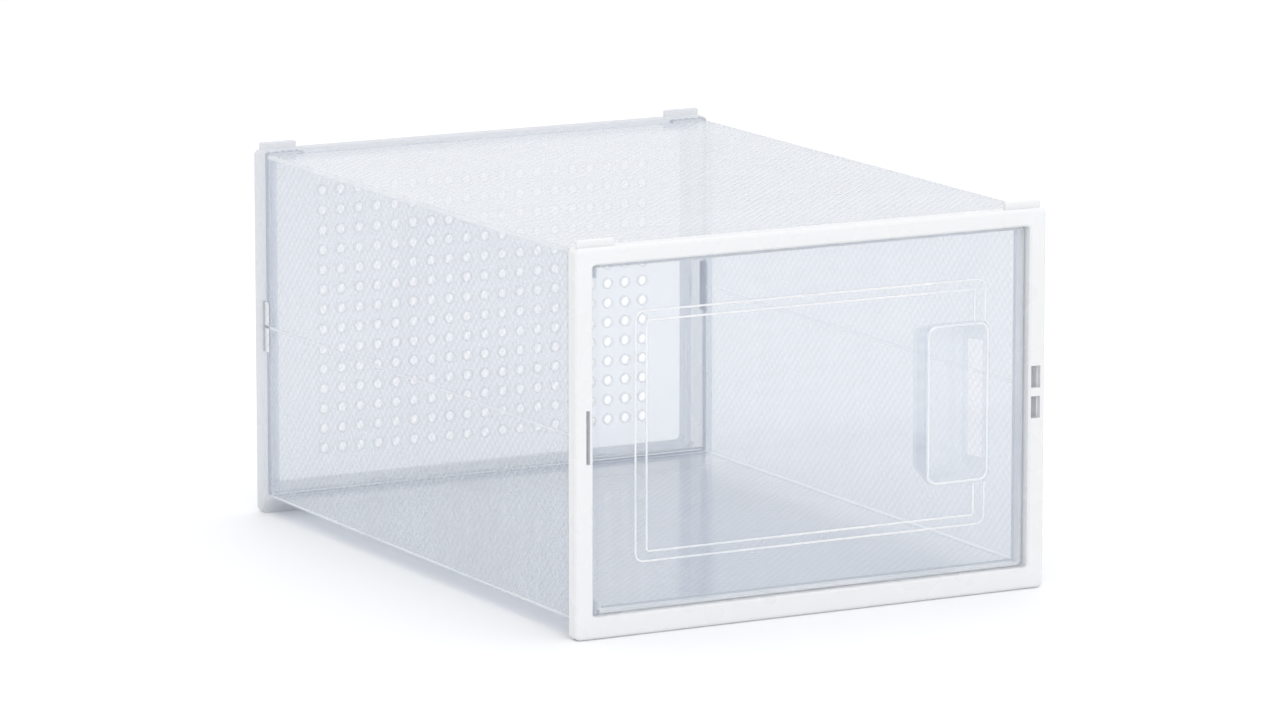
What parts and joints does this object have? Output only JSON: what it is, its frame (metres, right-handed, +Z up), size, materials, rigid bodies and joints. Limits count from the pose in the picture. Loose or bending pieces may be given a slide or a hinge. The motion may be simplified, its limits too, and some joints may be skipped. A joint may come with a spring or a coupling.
{
  "type": "shoe box",
  "caption": "Clear stackable shoe box: creased sheet tube between two moulded frames, perforated back and a side-hung front door with a recessed finger pocket.",
  "frame": {"origin": "middle of the footprint, on the surface the box stands on", "axes": "+X to the right seen from the front, +Y from the front to the back, +Z up"},
  "size_m": [0.25, 0.34, 0.1855],
  "materials": {
    "frame_plastic": "satin",
    "rear_frame_plastic": "satin",
    "clear_sheet": "embossed",
    "crease": "satin",
    "clear_back": "gloss",
    "clear_door": "gloss",
    "pin_plastic": "satin"
  },
  "bodies": {
    "box": {"front_frame": "frame_plastic", "rear_frame": "rear_frame_plastic", "back_panel": "clear_back", "top_panel": "clear_sheet", "bottom_panel": "clear_sheet", "left_upper_leaf": "clear_sheet", "left_lower_leaf": "clear_sheet", "left_side_crease": "crease", "right_upper_leaf": "clear_sheet", "right_lower_leaf": "clear_sheet", "right_side_crease": "crease", "top_left_crease": "crease", "top_right_crease": "crease", "bottom_left_crease": "crease", "bottom_right_crease": "crease"},
    "door": {"door": "clear_door", "door_lip": "clear_door", "finger_pocket": "clear_door", "upper_hinge_pin": "pin_plastic", "lower_hinge_pin": "pin_plastic"}
  },
  "joints": [
    {"name": "door_hinge", "type": "hinge", "parent": "box", "child": "door", "pos_m": [-0.1128, -0.1641, 0.0921], "axis": [0, 0, -1], "range_deg": [0, 95]}
  ]
}
